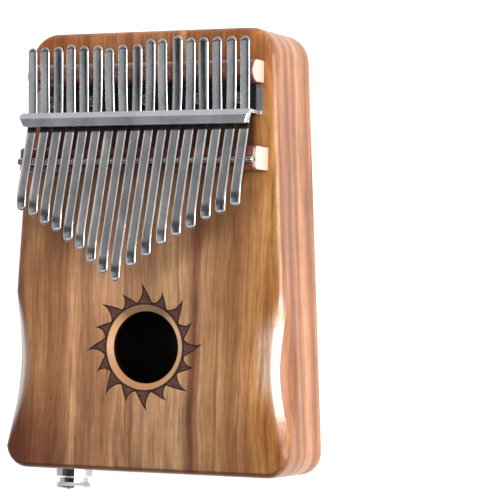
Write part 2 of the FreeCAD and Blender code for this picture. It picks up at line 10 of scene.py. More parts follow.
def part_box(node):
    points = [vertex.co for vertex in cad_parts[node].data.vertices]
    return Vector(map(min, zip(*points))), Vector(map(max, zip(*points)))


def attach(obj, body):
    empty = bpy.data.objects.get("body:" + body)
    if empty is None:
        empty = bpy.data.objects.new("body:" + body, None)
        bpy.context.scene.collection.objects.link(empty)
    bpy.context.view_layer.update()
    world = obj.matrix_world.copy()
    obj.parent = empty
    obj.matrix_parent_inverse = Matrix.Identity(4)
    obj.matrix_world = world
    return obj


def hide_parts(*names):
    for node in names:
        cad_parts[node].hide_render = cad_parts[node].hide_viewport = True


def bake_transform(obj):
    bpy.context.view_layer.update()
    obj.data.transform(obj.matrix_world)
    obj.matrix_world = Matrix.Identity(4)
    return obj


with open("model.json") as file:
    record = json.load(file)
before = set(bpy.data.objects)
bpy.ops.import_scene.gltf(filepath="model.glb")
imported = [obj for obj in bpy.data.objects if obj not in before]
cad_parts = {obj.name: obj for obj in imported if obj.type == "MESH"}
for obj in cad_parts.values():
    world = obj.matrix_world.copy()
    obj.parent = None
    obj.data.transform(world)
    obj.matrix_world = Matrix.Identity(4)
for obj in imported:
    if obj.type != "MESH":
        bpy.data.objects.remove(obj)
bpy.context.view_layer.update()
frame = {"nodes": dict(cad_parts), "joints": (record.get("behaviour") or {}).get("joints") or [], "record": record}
MM = 0.001

# ---------------------------------------------------------------- the body and its sound hole
FACE_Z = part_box("soundboard")[1].z
HOLE_Y = -40.2 * MM
RING_R = 17.6 * MM
ROOT_BODY = "body"

# ---------------------------------------------------------------- the sun engraved round the hole
FLAME_COUNT = 16
FLAME_ROOT_R = 18.97 * MM
FLAME_TIP_R = (27.35 * MM, 24.85 * MM)
FLAME_HALF_ANGLE = 10.5
FLAME_LEAN = 4.5
FLAME_MIDDLE = 0.45
FLAME_MIDDLE_ANGLES = (-2.8, 4.1)
FLAME_HOOK = 0.7 * MM
FLAME_ROWS = 14
FLAME_COLUMNS = 8
RING_ROWS = 4
RING_STEP_DEG = 2.5
SUN_INNER_R = 17.98 * MM
SUN_LINE_WIDTH = 0.75 * MM
SUN_TOP_Z = FACE_Z - 0.20 * MM
SUN_LOW_Z = FACE_Z - 0.29 * MM

# ---------------------------------------------------------------- shape of a tine
TINE_COUNT = 17
TINE_HALF_WIDTH = 2.15 * MM
TINE_HALF_THICK = 0.5 * MM
TINE_CROWN = 3.0
TINE_RISE = math.radians(15.1)
TINE_TAIL_SLOPE = math.radians(2.57)
TINE_BEND_R = 30.0 * MM
TINE_TIP_R = 30.0 * MM
TINE_TIP_DROOP = math.radians(5.0)
BEND_CORNER_Y = 53.5 * MM
BLEND_LENGTH = 12.0 * MM
END_TAPER = 1.8 * MM
END_STATIONS = [d * MM for d in (0.0, 0.08, 0.3, 0.7, 1.2, 1.7, 2.2)]
BODY_STATIONS = 70
SECTION_STEPS = 7
# how much the tines differ from each other
TAIL_TWIST_DEG = 5.0
TIP_TWIST_DEG = 2.5
TAIL_SWAY = 0.45 * MM
SWAY_START_Y = 57.6 * MM
SWAY_RUN = 14.0 * MM
SEED = 17

# ---------------------------------------------------------------- where the front wood changes, and where shade and highlights are painted on it
# Each (a, b) is a ramp from nothing at a to full at b; two of them make a band.
GRAIN_X = (-0.067, 0.067)
TOP_WARM_Y = (0.015, 0.070)
# painted shadow of the tines on the front board, under their fan
FAN_SHADOW_SLOPE = 0.65
FAN_SHADOW_EDGE = (-0.022, -0.008)
FAN_SHADOW_X = (0.0520, 0.0480)
BELOW_COMB_Y = (0.0580, 0.0565)
BAR_SHADE_X = (0.0500, 0.0480)
BAR_SHADE_Y = (0.0425, 0.0440)
RED_CORNER_X = (-0.036, -0.058)
RED_CORNER_Y = (-0.045, -0.078)
BOTTOM_SHADE_Y = (-0.090, -0.050)
# painted golden halo round the highlight in the right scallop
SCALLOP_HALO_X = (0.047, 0.058)
SCALLOP_HALO_Y = ((-0.008, -0.025), (-0.092, -0.075))
# painted pale glare in the right scallop
GLARE_X = (0.0495, 0.0555)
GLARE_Y = ((-0.022, -0.038), (-0.066, -0.046))
POLISHED_X = (0.030, 0.034)
POLISHED_Y = ((-0.014, -0.026), (-0.080, -0.060))

# the places on the steel where shade is painted near-black, in the same way
BAR_SHADOW_Y = ((0.0490, 0.0497), (0.0522, 0.0516))
FLANGE_SHADE_Z = (FACE_Z + 0.0100, FACE_Z + 0.0030)
FLANGE_SHADE_X = (0.0508, 0.0500)


# ================================================================ node helpers
class Nodes:
    """A node tree under construction, with short ways to add nodes and join them."""

    def __init__(self, tree, coordinate):
        self.tree = tree
        self.point = self.node("ShaderNodeTexCoord").outputs[coordinate]

    def node(self, kind, **settings):
        made = self.tree.nodes.new(kind)
        for key, value in settings.items():
            setattr(made, key, value)
        return made

    def feed(self, socket, value):
        if isinstance(value, bpy.types.NodeSocket):
            self.tree.links.new(value, socket)
        else:
            socket.default_value = value

    def math(self, operation, a, b=0.0):
        made = self.node("ShaderNodeMath", operation=operation)
        for socket, value in zip(made.inputs, (a, b)):
            self.feed(socket, value)
        return made.outputs[0]

    def size(self, value):
        return self.math("ABSOLUTE", value)

    def scaled(self, scale, source=None):
        made = self.node("ShaderNodeMapping")
        self.feed(made.inputs["Vector"], source or self.point)
        made.inputs["Scale"].default_value = scale
        return made.outputs[0]

    def noise(self, scale, detail=2.0, rough=0.5, distort=0.0, source=None):
        made = self.node("ShaderNodeTexNoise")
        self.feed(made.inputs["Vector"], self.scaled(scale, source))
        made.inputs["Scale"].default_value = 1.0
        made.inputs["Detail"].default_value = detail
        made.inputs["Roughness"].default_value = rough
        made.inputs["Distortion"].default_value = distort
        return made.outputs["Fac"]

    def ramp(self, factor, stops):
        made = self.node("ShaderNodeValToRGB")
        self.feed(made.inputs["Fac"], factor)
        ramp = made.color_ramp
        while len(ramp.elements) < len(stops):
            ramp.elements.new(0.5)
        for element, (place, colour) in zip(ramp.elements, stops):
            element.position = place
            element.color = rgba(colour)
        return made.outputs["Color"]

    def mix(self, factor, a, b, blend="MIX"):
        made = self.node("ShaderNodeMix", data_type="RGBA", blend_type=blend)
        self.feed(made.inputs["Factor"], factor)
        self.feed(made.inputs[6], a if isinstance(a, bpy.types.NodeSocket) else rgba(a))
        self.feed(made.inputs[7], b if isinstance(b, bpy.types.NodeSocket) else rgba(b))
        return made.outputs[2]

    def remap(self, value, low, high, to_low=0.0, to_high=1.0, smooth=False):
        made = self.node("ShaderNodeMapRange")
        if smooth:
            made.interpolation_type = "SMOOTHSTEP"
        self.feed(made.inputs["Value"], value)
        for key, number in (("From Min", low), ("From Max", high), ("To Min", to_low), ("To Max", to_high)):
            made.inputs[key].default_value = number
        return made.outputs[0]

    def axes(self, source=None):
        made = self.node("ShaderNodeSeparateXYZ")
        self.feed(made.inputs[0], source or self.point)
        return made.outputs

    def bump(self, height, strength, distance, under=None):
        made = self.node("ShaderNodeBump")
        made.inputs["Strength"].default_value = strength
        made.inputs["Distance"].default_value = distance
        self.feed(made.inputs["Height"], height)
        if under is not None:
            self.feed(made.inputs["Normal"], under)
        return made.outputs[0]

    def join(self, x, y, z):
        made = self.node("ShaderNodeCombineXYZ")
        for socket, value in zip(made.inputs, (x, y, z)):
            self.feed(socket, value)
        return made.outputs[0]

    def both(self, a, b):
        return self.math("MULTIPLY", a, b)

    def band(self, value, rise, fall, smooth=False):
        """Full between two ramps, each from nothing to full over its two values."""
        return self.both(self.remap(value, *rise, smooth=smooth), self.remap(value, *fall, smooth=smooth))


class Shader(Nodes):
    """A material's node tree, in the object's own coordinates."""

    def __init__(self, name):
        self.material = bpy.data.materials.new(name)
        self.material.use_nodes = True
        super().__init__(self.material.node_tree, "Object")
        self.bsdf = self.tree.nodes["Principled BSDF"]

    def normal(self):
        return self.axes(self.node("ShaderNodeNewGeometry").outputs["Normal"])

    def set(self, **values):
        for key, value in values.items():
            socket = self.bsdf.inputs[key.replace("_", " ")]
            if isinstance(value, (str, tuple)):
                value = rgba(value)
            self.feed(socket, value)
        return self.material


def rgba(colour):
    """A "#RRGGBB" colour as linear RGBA; anything else goes through."""
    if not isinstance(colour, str):
        return tuple(colour) + (1.0,) * (4 - len(colour))
    parts = [int(colour[i:i + 2], 16) / 255.0 for i in (1, 3, 5)]
    linear = [c / 12.92 if c <= 0.04045 else ((c + 0.055) / 1.055) ** 2.4 for c in parts]
    return (*linear, 1.0)


# ================================================================ materials
def warped(s, along):
    """The point with its across-grain coordinate pushed about, so that the grain wanders."""
    def push(broad_scale, broad_reach, close_scale, close_reach):
        broad = s.math("SUBTRACT", s.noise(broad_scale), 0.5)
        close = s.math("SUBTRACT", s.noise(close_scale), 0.5)
        return s.math("ADD", s.both(broad, broad_reach), s.both(close, close_reach))

    x, y, z = s.axes()
    if along == "y":
        return s.join(s.math("ADD", x, push((13, 9, 13), 0.013, (80, 40, 80), 0.0016)), y, z)
    return s.join(x, y, s.math("ADD", z, push((11, 11, 30), 0.007, (34, 34, 120), 0.0014)))


def shade(s, colour, mask, stops, strength):
    """Multiplies a colour by a ramp of tones."""
    return s.mix(strength, colour, s.mix(1.0, colour, s.ramp(mask, stops), "MULTIPLY"))


def wood_grain(s, along, colour, grain, depth=1.0):
    """Adds streaks, fibres, mineral lines, pores and slow tone changes to a wood colour. along is
    "y" or "xy", the way the fibres run. Returns the colour and a height for the bump."""
    def lie(across, lengthwise):
        return (across, lengthwise, across * 0.7) if along == "y" else (lengthwise, lengthwise, across)

    streaks = s.noise(lie(190, 12), 5.0, 0.66, 0.6, source=grain)
    fine = s.noise(lie(1150, 70), 3.0, 0.6, source=grain)
    mottle = s.noise(lie(46, 15), 3.0, 0.55, source=grain)
    figure = s.noise(lie(90, 260), 3.0, 0.6, source=grain)
    lines = s.noise(lie(430, 5), source=grain)
    pores = s.noise(lie(2300, 150), 1.0, source=grain)
    for mask, stops, strength in (
            (streaks, [(0.30, "#A48E80"), (0.48, "#DCCEC2"), (0.66, "#FFFDF8")], 0.9),
            (fine, [(0.30, "#A89A92"), (0.60, "#FFFFFF")], 0.55),
            (mottle, [(0.30, "#BCAA9C"), (0.70, "#FFFFFF")], 0.8),
            (figure, [(0.30, "#D8CCC4"), (0.70, "#FFFFFF")], 0.3)):
        colour = shade(s, colour, mask, stops, strength * depth)
    colour = s.mix(s.both(s.remap(lines, 0.60, 0.66), 0.50 * depth), colour, "#5E2F1A")
    pore_mask = s.remap(pores, 0.66, 0.74)
    colour = s.mix(s.both(pore_mask, 0.45 * depth), colour, "#3A1E10")
    height = s.math("SUBTRACT", fine, s.both(pore_mask, 0.8))
    return colour, height


FRONT_BANDS = [
    (0.00, "#794A2B"), (0.08, "#9A724C"), (0.14, "#9E744E"), (0.19, "#8E623F"), (0.24, "#BC936B"),
    (0.29, "#A78060"), (0.37, "#C79F78"), (0.47, "#BF9E7B"), (0.57, "#C4A47F"), (0.645, "#CCAC87"),
    (0.675, "#7B4E37"), (0.70, "#B5906D"), (0.77, "#B9956A"), (0.815, "#997147"), (0.86, "#BD9162"),
    (0.91, "#D0A561"), (1.00, "#B48148"),
]
SIDE_BANDS = [
    (0.00, "#815437"), (0.10, "#A6724F"), (0.20, "#8A593A"), (0.32, "#AC7A56"), (0.44, "#BB8E6C"),
    (0.52, "#91603F"), (0.62, "#B3815E"), (0.72, "#875738"), (0.84, "#B07C59"), (1.00, "#915E3C"),
]


def side_colour(s, bands, grain):
    return s.ramp(s.remap(s.axes(grain)[2], 0.0, FACE_Z), bands)


def front_tones(s, x, y, grain):
    """The slow colours of the front board, before its grain, with painted shade under the tines and the bar and
    painted highlights in the right scallop.
    """
    colour = s.ramp(s.remap(s.axes(grain)[0], *GRAIN_X), FRONT_BANDS)
    colour = s.mix(s.both(s.remap(y, *TOP_WARM_Y), 0.62), colour, "#A86430")
    below_comb = s.remap(y, *BELOW_COMB_Y)
    # Painted shadow: the board under the fan of tines, below the comb, is darkened towards dark brown.
    fan = s.math("SUBTRACT", y, s.both(s.size(x), FAN_SHADOW_SLOPE))
    fan_shadow = s.both(s.remap(fan, *FAN_SHADOW_EDGE, smooth=True), s.remap(s.size(x), *FAN_SHADOW_X))
    colour = s.mix(s.both(s.both(fan_shadow, below_comb), 0.35), colour, "#5A2E18")
    # Painted shade: the board between the front bridge and the bar, in the bar's shadow, is darkened almost to
    # black-brown.
    under_bar_shade = s.both(s.remap(y, *BAR_SHADE_Y), s.remap(s.size(x), *BAR_SHADE_X))
    colour = s.mix(s.both(s.both(under_bar_shade, below_comb), 0.8), colour, "#3E1E10")
    corner = s.both(s.remap(x, *RED_CORNER_X), s.remap(y, *RED_CORNER_Y))
    colour = s.mix(s.both(corner, 0.80), colour, "#6C3012")
    bottom = s.remap(y, *BOTTOM_SHADE_Y)
    colour = shade(s, colour, bottom, [(0.0, "#D4CEC8"), (1.0, "#FFFFFF")], 1.0)
    # Painted highlight: a golden tint in the right scallop stands for the halo round its glare.
    scallop = s.both(s.remap(x, *SCALLOP_HALO_X), s.band(y, *SCALLOP_HALO_Y))
    colour = s.mix(s.both(scallop, 0.7), colour, "#BC8038")
    # Painted highlight: a pale patch in the right scallop stands for the key light's glare there.
    painted_glare = s.both(s.remap(x, *GLARE_X, smooth=True), s.band(y, *GLARE_Y, smooth=True))
    return s.mix(s.both(painted_glare, 0.75), colour, "#F4E8D6")


def front_wood():
    """The front board: its own grain on top, and the sides' grain where its edge turns down. The
    lacquer shines on the rolled edges, most of all in the scallops."""
    s = Shader("front_wood")
    x, y, z = s.axes()
    across, lengthwise, upward = s.normal()
    grain = warped(s, "y")
    colour, height = wood_grain(s, "y", front_tones(s, x, y, grain), grain)
    side_grain = warped(s, "xy")
    side = wood_grain(s, "xy", side_colour(s, SIDE_BANDS, side_grain), side_grain, 0.8)[0]
    facing = s.remap(s.size(upward), 0.30, 0.62, smooth=True)
    colour = hole_edge(s, x, y, z, s.mix(facing, side, colour))
    # Painted shade: faces of the board that tilt towards the bottom end, such as the rolled bottom edge, are
    # darkened as if in shadow.
    under = s.both(s.remap(lengthwise, -0.15, -0.50, smooth=True), s.remap(s.size(across), 0.6, 0.3))
    colour = s.mix(s.both(s.both(under, facing), 0.75), colour, "#3A1A0C")
    rolled = s.both(s.remap(s.size(upward), 0.985, 0.93, smooth=True),
                    s.remap(s.size(across), 0.15, 0.40, smooth=True))
    polished = s.remap(s.band(y, *POLISHED_Y, smooth=True), 0.0, 1.0, 0.06, 1.0)
    shine = s.both(s.both(rolled, polished), s.remap(s.size(x), *POLISHED_X))
    s.set(Base_Color=colour, Roughness=s.remap(height, 0.2, 0.8, 0.50, 0.38), Specular_IOR_Level=0.25,
          Coat_Weight=s.remap(shine, 0.0, 1.0, 0.10, 1.0), Coat_Roughness=0.18, Coat_IOR=2.0,
          Normal=s.bump(height, 0.25, 0.00012))
    return s.material


def hole_edge(s, x, y, z, colour):
    """Bare light wood on the bevel of the sound hole, its tone painted darker where the bevel faces the lights and
    lighter where it faces away; dark below it, and a burnt line round it.
    """
    dy = s.math("SUBTRACT", y, HOLE_Y)
    radius = s.math("SQRT", s.math("ADD", s.both(x, x), s.both(dy, dy)))
    bare = s.remap(radius, RING_R + 0.1 * MM, RING_R - 0.1 * MM)
    towards_x, towards_y, _ = s.normal()
    # Painted light and shade: the ring's tone is set by which way the bevel faces.
    light_facing = s.math("ADD", s.both(towards_x, 0.6), s.both(towards_y, 0.8))
    ring = s.ramp(s.remap(light_facing, -0.6, 0.6), [(0.0, "#D8B48E"), (0.5, "#B68C62"), (1.0, "#8C6440")])
    colour = s.mix(s.both(bare, 0.8), colour, ring)
    burnt = s.band(radius, (RING_R, RING_R + 0.1 * MM), (RING_R + 0.4 * MM, RING_R + 0.3 * MM))
    colour = s.mix(s.both(burnt, 0.8), colour, "#3B1D14")
    below = s.remap(z, FACE_Z - 1.65 * MM, FACE_Z - 1.8 * MM)
    return s.mix(s.both(below, bare), colour, "#0C0705")


def side_wood(name, bands):
    """The frame and the back, with the face that looks up from inside the box painted near-black as shade."""
    s = Shader(name)
    grain = warped(s, "xy")
    colour, height = wood_grain(s, "xy", side_colour(s, bands, grain), grain, 0.8)
    # Painted shade: the face that looks up inside the box is made near-black, as the unlit inside of the box.
    inside = s.both(s.remap(s.normal()[2], 0.4, 0.6), s.remap(s.axes()[2], 0.006, 0.005))
    s.set(Base_Color=s.mix(inside, colour, "#0A0604"), Roughness=s.remap(height, 0.2, 0.8, 0.46, 0.36),
          Specular_IOR_Level=0.25, Coat_Weight=0.1, Coat_Roughness=0.15,
          Normal=s.bump(height, 0.18, 0.0001))
    return s.material


def plain_wood(name, base, dark, coat, end=None):
    """A darker close-grained wood for the bridges, or a pale one for the blocks inside. end is a
    lighter colour painted on the faces along x, a painted highlight where light glares on them."""
    s = Shader(name)
    grain = s.noise((14, 500, 500), 4.0, 0.6, 0.3)
    fine = s.noise((60, 2400, 2400), 2.0, 0.6)
    colour = s.ramp(grain, [(0.3, dark), (0.7, base)])
    if end:
        # Painted highlight: the ends of the bridges, facing along x, are lightened where the light glares on them.
        colour = s.mix(s.remap(s.size(s.normal()[0]), 0.80, 0.95), colour, end)
    colour = shade(s, colour, fine, [(0.3, "#909090"), (0.6, "#FFFFFF")], 0.4)
    s.set(Base_Color=colour, Roughness=0.40, Coat_Weight=coat, Coat_Roughness=0.12,
          Normal=s.bump(fine, 0.2, 0.00008))
    return s.material


class Metal(Shader):
    """Metal with fine drawn lines and slow smudges, which vary its tone and its roughness."""

    def __init__(self, name, colour, grain_scale):
        super().__init__(name)
        self.lines = self.noise(grain_scale, 3.0, 0.65)
        self.smudge = self.noise((90, 60, 90), 3.0, 0.6, 0.5)
        tint = self.ramp(self.smudge, [(0.25, "#D8D8DA"), (0.75, "#FFFFFF")])
        self.base = self.mix(1.0, colour, tint, "MULTIPLY")

    def finished(self, rough_low, rough_high, relief, metallic=1.0):
        return self.set(Base_Color=self.base, Metallic=metallic,
                        Roughness=self.remap(self.smudge, 0.3, 0.75, rough_low, rough_high),
                        Normal=self.bump(self.lines, relief, 0.00003))


def tine_steel():
    """Polished spring steel, black where the bar's shadow pinches it."""
    s = Shader("tine_steel")
    drawn = s.noise((2600, 40, 2600), 2.0, 0.6)
    ripple = s.noise((260, 150, 260), 2.0, 0.5, 0.4)
    smudge = s.noise((150, 60, 150), 3.0, 0.6, 0.4)
    base = s.mix(1.0, "#D8DADE", s.ramp(smudge, [(0.3, "#C9CBCE"), (0.7, "#FFFFFF")]), "MULTIPLY")
    # Painted shadow: a band of each tine just in front of the bar is made near-black for the bar's shadow and its
    # dark reflection.
    bar_shadow_band = s.band(s.axes()[1], *BAR_SHADOW_Y, smooth=True)
    s.set(Base_Color=s.mix(s.both(bar_shadow_band, 0.93), base, "#101012"), Metallic=1.0,
          Roughness=s.remap(smudge, 0.3, 0.75, 0.09, 0.18),
          Normal=s.bump(drawn, 0.12, 0.00003, s.bump(ripple, 0.35, 0.00018)))
    return s.material


def clamp_steel():
    """Brushed steel, painted near-black as shade on the low flange that the tails hide."""
    s = Metal("satin_steel", "#DCDCE2", (60, 2600, 2600))
    x, _, z = s.axes()
    # Painted shade: the low flange under the tails is darkened almost to black.
    low = s.both(s.remap(z, *FLANGE_SHADE_Z, smooth=True), s.remap(s.size(x), *FLANGE_SHADE_X))
    s.base = s.mix(s.both(low, 0.93), s.base, "#2A2A2E")
    return s.finished(0.30, 0.40, 0.35)


def jack_chrome():
    """Polished chrome, made a less metallic light grey where it faces back towards the wood, as a painted
    reflection in place of the wood's.
    """
    s = Metal("jack_chrome", "#DADBDE", (1200, 1200, 1200))
    # Painted reflection: the side facing the wood is turned light grey and less metallic instead of mirroring the
    # wood.
    back = s.remap(s.normal()[1], 0.20, 0.45)
    s.base = s.mix(back, s.base, "#BEBEC2")
    return s.finished(0.04, 0.09, 0.05, metallic=s.remap(back, 0.0, 1.0, 1.0, 0.35))


def plain(name, colour, rough, scale=900, strength=0.1, metallic=0.0):
    """A moulded or painted surface with a fine texture and slightly uneven tone."""
    s = Shader(name)
    fine = s.noise((scale,) * 3, 2.0, 0.6)
    slow = s.noise((70, 70, 70), 2.0, 0.5)
    tint = s.ramp(slow, [(0.3, "#C8C8C8"), (0.7, "#FFFFFF")])
    s.set(Base_Color=s.mix(1.0, colour, tint, "MULTIPLY"), Metallic=metallic,
          Roughness=s.remap(fine, 0.3, 0.7, rough - 0.05, rough + 0.05),
          Normal=s.bump(fine, strength, 0.00005))
    return s.material


def burnt_wood():
    """Laser-burnt wood: dark brown, darkest at the outlines, which the mesh marks as "edge"; that darkening is
    partly the burn and partly painted shade of the recess walls.
    """
    s = Shader("burnt_wood")
    mark = s.node("ShaderNodeAttribute", attribute_name="edge").outputs["Fac"]
    lines = s.noise((500, 2600, 500), 2.0, 0.6)
    clouds = s.noise((300, 300, 300), 2.0, 0.6)
    inner = s.ramp(lines, [(0.35, "#33201C"), (0.65, "#5A3C34")])
    inner = shade(s, inner, clouds, [(0.3, "#A0A0A0"), (0.7, "#FFFFFF")], 0.7)
    # Partly painted shade: the outlines are darkened both as burn and as the shade of the recess walls.
    s.set(Base_Color=s.mix(s.remap(mark, 0.15, 0.50), inner, "#160805"), Roughness=0.75,
          Specular_IOR_Level=0.25, Normal=s.bump(lines, 0.3, 0.0001))
    return s.material


MATERIALS = {
    "front_wood": front_wood(),
    "side_wood": side_wood("side_wood", SIDE_BANDS),
    "back_wood": side_wood("back_wood", [(0.0, "#A87850"), (0.5, "#B98A60"), (1.0, "#9A6B48")]),
    "inner_wood": plain_wood("inner_wood", "#C9A57A", "#A88258", 0.0),
    # the bridges' lighter end colour is a painted highlight
    "bridge_wood": plain_wood("bridge_wood", "#6B382A", "#45221A", 0.4, end="#DDB0A0"),
    "polished_steel": Metal("polished_steel", "#9A9A98", (400, 2500, 2500)).finished(0.15, 0.24, 0.08),
    "satin_steel": clamp_steel(),
    "screw_steel": Metal("screw_steel", "#A6A6A8", (900, 900, 900)).finished(0.19, 0.28, 0.1),
    "tine_steel": tine_steel(),
    "jack_chrome": jack_chrome(),
    "black_plastic": plain("black_plastic", "#141414", 0.45),
    "contact_brass": plain("contact_brass", "#C9A24E", 0.30, metallic=1.0),
    "foam_pad": plain("foam_pad", "#DDDAD0", 0.8, 1500, 0.4),
    "piezo_white": plain("piezo_white", "#E6E2D8", 0.4),
    "cable_black": plain("cable_black", "#101010", 0.5),
    "burnt": burnt_wood(),
}


def dress_cad_nodes():
    for row in frame["record"]["subparts"]:
        node = frame["nodes"][row["node"]]
        node.data.materials.clear()
        node.data.materials.append(MATERIALS[row["material_slot"]])


# ================================================================ meshes
def mesh_object(name, vertices, faces, material, smooth=True):
    mesh = bpy.data.meshes.new(name)
    mesh.from_pydata([tuple(v) for v in vertices], [], faces)
    mesh.validate()
    if smooth:
        mesh.polygons.foreach_set("use_smooth", [True] * len(mesh.polygons))
    made = bpy.data.objects.new(name, mesh)
    bpy.context.scene.collection.objects.link(made)
    mesh.materials.append(material)
    return made


def section(half_width, half_thick):
    """Cross-section of a strip with a slight crown and soft edges, as (across, up) points."""
    points = []
    for k in range(4 * SECTION_STEPS):
        a = 2 * math.pi * k / (4 * SECTION_STEPS)
        c, s = math.cos(a), math.sin(a)
        points.append((half_width * math.copysign(abs(c) ** (2 / TINE_CROWN), c),
                       half_thick * math.copysign(abs(s) ** (2 / TINE_CROWN), s)))
    return points


def tine_line(hinge, tip_y, tail_y):
    """Stations along a tine from tail to tip: (y, z, direction angle, distance)."""
    turn = TINE_RISE + TINE_TAIL_SLOPE
    cut_back = TINE_BEND_R * math.tan(turn / 2)
    corner_z = hinge.z - (BEND_CORNER_Y - hinge.y) * math.tan(TINE_RISE)
    tail_run = (tail_y - BEND_CORNER_Y) / math.cos(TINE_TAIL_SLOPE)
    y = tail_y
    z = corner_z + tail_run * math.sin(TINE_TAIL_SLOPE)
    tip_turn = TINE_RISE + TINE_TIP_DROOP
    tip_reach = TINE_TIP_R * (math.sin(TINE_RISE) + math.sin(TINE_TIP_DROOP))
    rise_run = (BEND_CORNER_Y - tip_y - tip_reach) / math.cos(TINE_RISE)
    moves = [(tail_run - cut_back, 0.0), (TINE_BEND_R * turn, turn),
             (rise_run - cut_back, 0.0), (TINE_TIP_R * tip_turn, -tip_turn)]
    heading = -TINE_TAIL_SLOPE
    total = sum(length for length, _ in moves)
    between = [k * total / BODY_STATIONS for k in range(1, BODY_STATIONS)]
    wanted = sorted(set(END_STATIONS + [total - e for e in END_STATIONS] + between))
    stations = []
    done = 0.0
    for length, angle in moves:
        for s in [w for w in wanted if done - 1e-9 <= w <= done + length + 1e-9]:
            part = s - done
            if angle == 0.0:
                py, pz, h = y - part * math.cos(heading), z + part * math.sin(heading), heading
            else:
                radius = length / abs(angle)
                h = heading + angle * part / length
                sign = 1.0 if angle > 0 else -1.0
                py = y - sign * radius * (math.sin(h) - math.sin(heading))
                pz = z + sign * radius * (math.cos(heading) - math.cos(h))
            if not stations or s - stations[-1][3] > 1e-7:
                stations.append((py, pz, h, s))
        if angle == 0.0:
            y, z = y - length * math.cos(heading), z + length * math.sin(heading)
        else:
            sign = 1.0 if angle > 0 else -1.0
            radius = length / abs(angle)
            y -= sign * radius * (math.sin(heading + angle) - math.sin(heading))
            z += sign * radius * (math.cos(heading) - math.cos(heading + angle))
            heading += angle
        done += length
    return stations, total


def round_end(distance, size):
    """How much of its full size a round end has at a distance from its tip."""
    if distance >= size:
        return 1.0
    return math.sqrt(max(0.0, 1.0 - (1.0 - distance / size) ** 2))


def tine(number, rng):
    """One whole tine for the CAD's tail and tongue, smooth across the hinge between them."""
    joint = next(j for j in frame["joints"] if j["name"] == "tine_%02d_flex" % number)
    tongue, tail = "tine_%02d_tongue" % number, "tine_%02d_tail" % number
    hinge = Vector(joint["pos_m"])
    stations, total = tine_line(hinge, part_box(tongue)[0].y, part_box(tail)[1].y)
    sway = rng.uniform(-TAIL_SWAY, TAIL_SWAY)
    twist_tail = rng.uniform(-TAIL_TWIST_DEG, TAIL_TWIST_DEG)
    twist_tip = rng.uniform(-TIP_TWIST_DEG, TIP_TWIST_DEG)
    vertices, faces = [], []
    for py, pz, heading, s in stations:
        end = min(s, total - s)
        width = TINE_HALF_WIDTH * max(0.06, round_end(end + 0.02 * MM, TINE_HALF_WIDTH * 0.98))
        thick = TINE_HALF_THICK * max(0.25, round_end(end + 0.05 * MM, END_TAPER))
        roll = math.radians(twist_tail + (twist_tip - twist_tail) * s / total)
        up = Vector((0, math.sin(heading), math.cos(heading)))
        bend = sway * max(0.0, min(1.0, (py - SWAY_START_Y) / SWAY_RUN)) ** 0.7
        middle = Vector((hinge.x + bend, py, pz))
        for a, b in section(width, thick):
            a, b = a * math.cos(roll) - b * math.sin(roll), a * math.sin(roll) + b * math.cos(roll)
            vertices.append(middle + Vector((a, 0, 0)) + up * b)
    ring = 4 * SECTION_STEPS
    for k in range(len(stations) - 1):
        for i in range(ring):
            j = (i + 1) % ring
            faces.append((k * ring + i, (k + 1) * ring + i, (k + 1) * ring + j, k * ring + j))
    faces.append(tuple(range(ring)))
    last = (len(stations) - 1) * ring
    faces.append(tuple(reversed(range(last, last + ring))))
    piece = mesh_object("tine_%02d" % number, vertices, faces, MATERIALS["tine_steel"])
    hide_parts(tongue, tail)
    end = hinge + Vector((0, -BLEND_LENGTH * math.cos(TINE_RISE), BLEND_LENGTH * math.sin(TINE_RISE)))
    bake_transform(piece)


def polar(radius, degrees):
    a = math.radians(degrees)
    return Vector((radius * math.cos(a), HOLE_Y + radius * math.sin(a), 0))


def arc_points(a, b, c, count):
    """Points along the circle through a, b and c, from a to c (both ends included)."""
    ab, ac = b - a, c - a
    d = 2 * (ab.x * ac.y - ab.y * ac.x)
    if abs(d) < 1e-12:
        return [a.lerp(c, k / count) for k in range(count + 1)]
    centre = a + Vector(((ac.y * ab.length_squared - ab.y * ac.length_squared) / d,
                         (ab.x * ac.length_squared - ac.x * ab.length_squared) / d, 0))
    start = math.atan2(a.y - centre.y, a.x - centre.x)
    sweep = math.atan2(c.y - centre.y, c.x - centre.x) - start
    middle = math.atan2(b.y - centre.y, b.x - centre.x) - start
    if not 0 <= middle % math.tau <= sweep % math.tau:
        sweep = -((-sweep) % math.tau)
    else:
        sweep %= math.tau
    r = (a - centre).length
    return [centre + r * Vector((math.cos(start + sweep * k / count), math.sin(start + sweep * k / count), 0))
            for k in range(count + 1)]


def flame_sides(k):
    """The two sides of flame k, each from its root to the shared tip."""
    angle = k * 360.0 / FLAME_COUNT
    tip_r = FLAME_TIP_R[k % 2]
    mid_r = FLAME_ROOT_R + FLAME_MIDDLE * (tip_r - FLAME_ROOT_R)
    tip = polar(tip_r, angle + FLAME_LEAN)
    mid_left = polar(mid_r, angle + FLAME_MIDDLE_ANGLES[0])
    mid_right = polar(mid_r - FLAME_HOOK, angle + FLAME_MIDDLE_ANGLES[1])
    return (arc_points(polar(FLAME_ROOT_R, angle - FLAME_HALF_ANGLE), mid_left, tip, FLAME_ROWS),
            arc_points(polar(FLAME_ROOT_R, angle + FLAME_HALF_ANGLE), mid_right, tip, FLAME_ROWS))


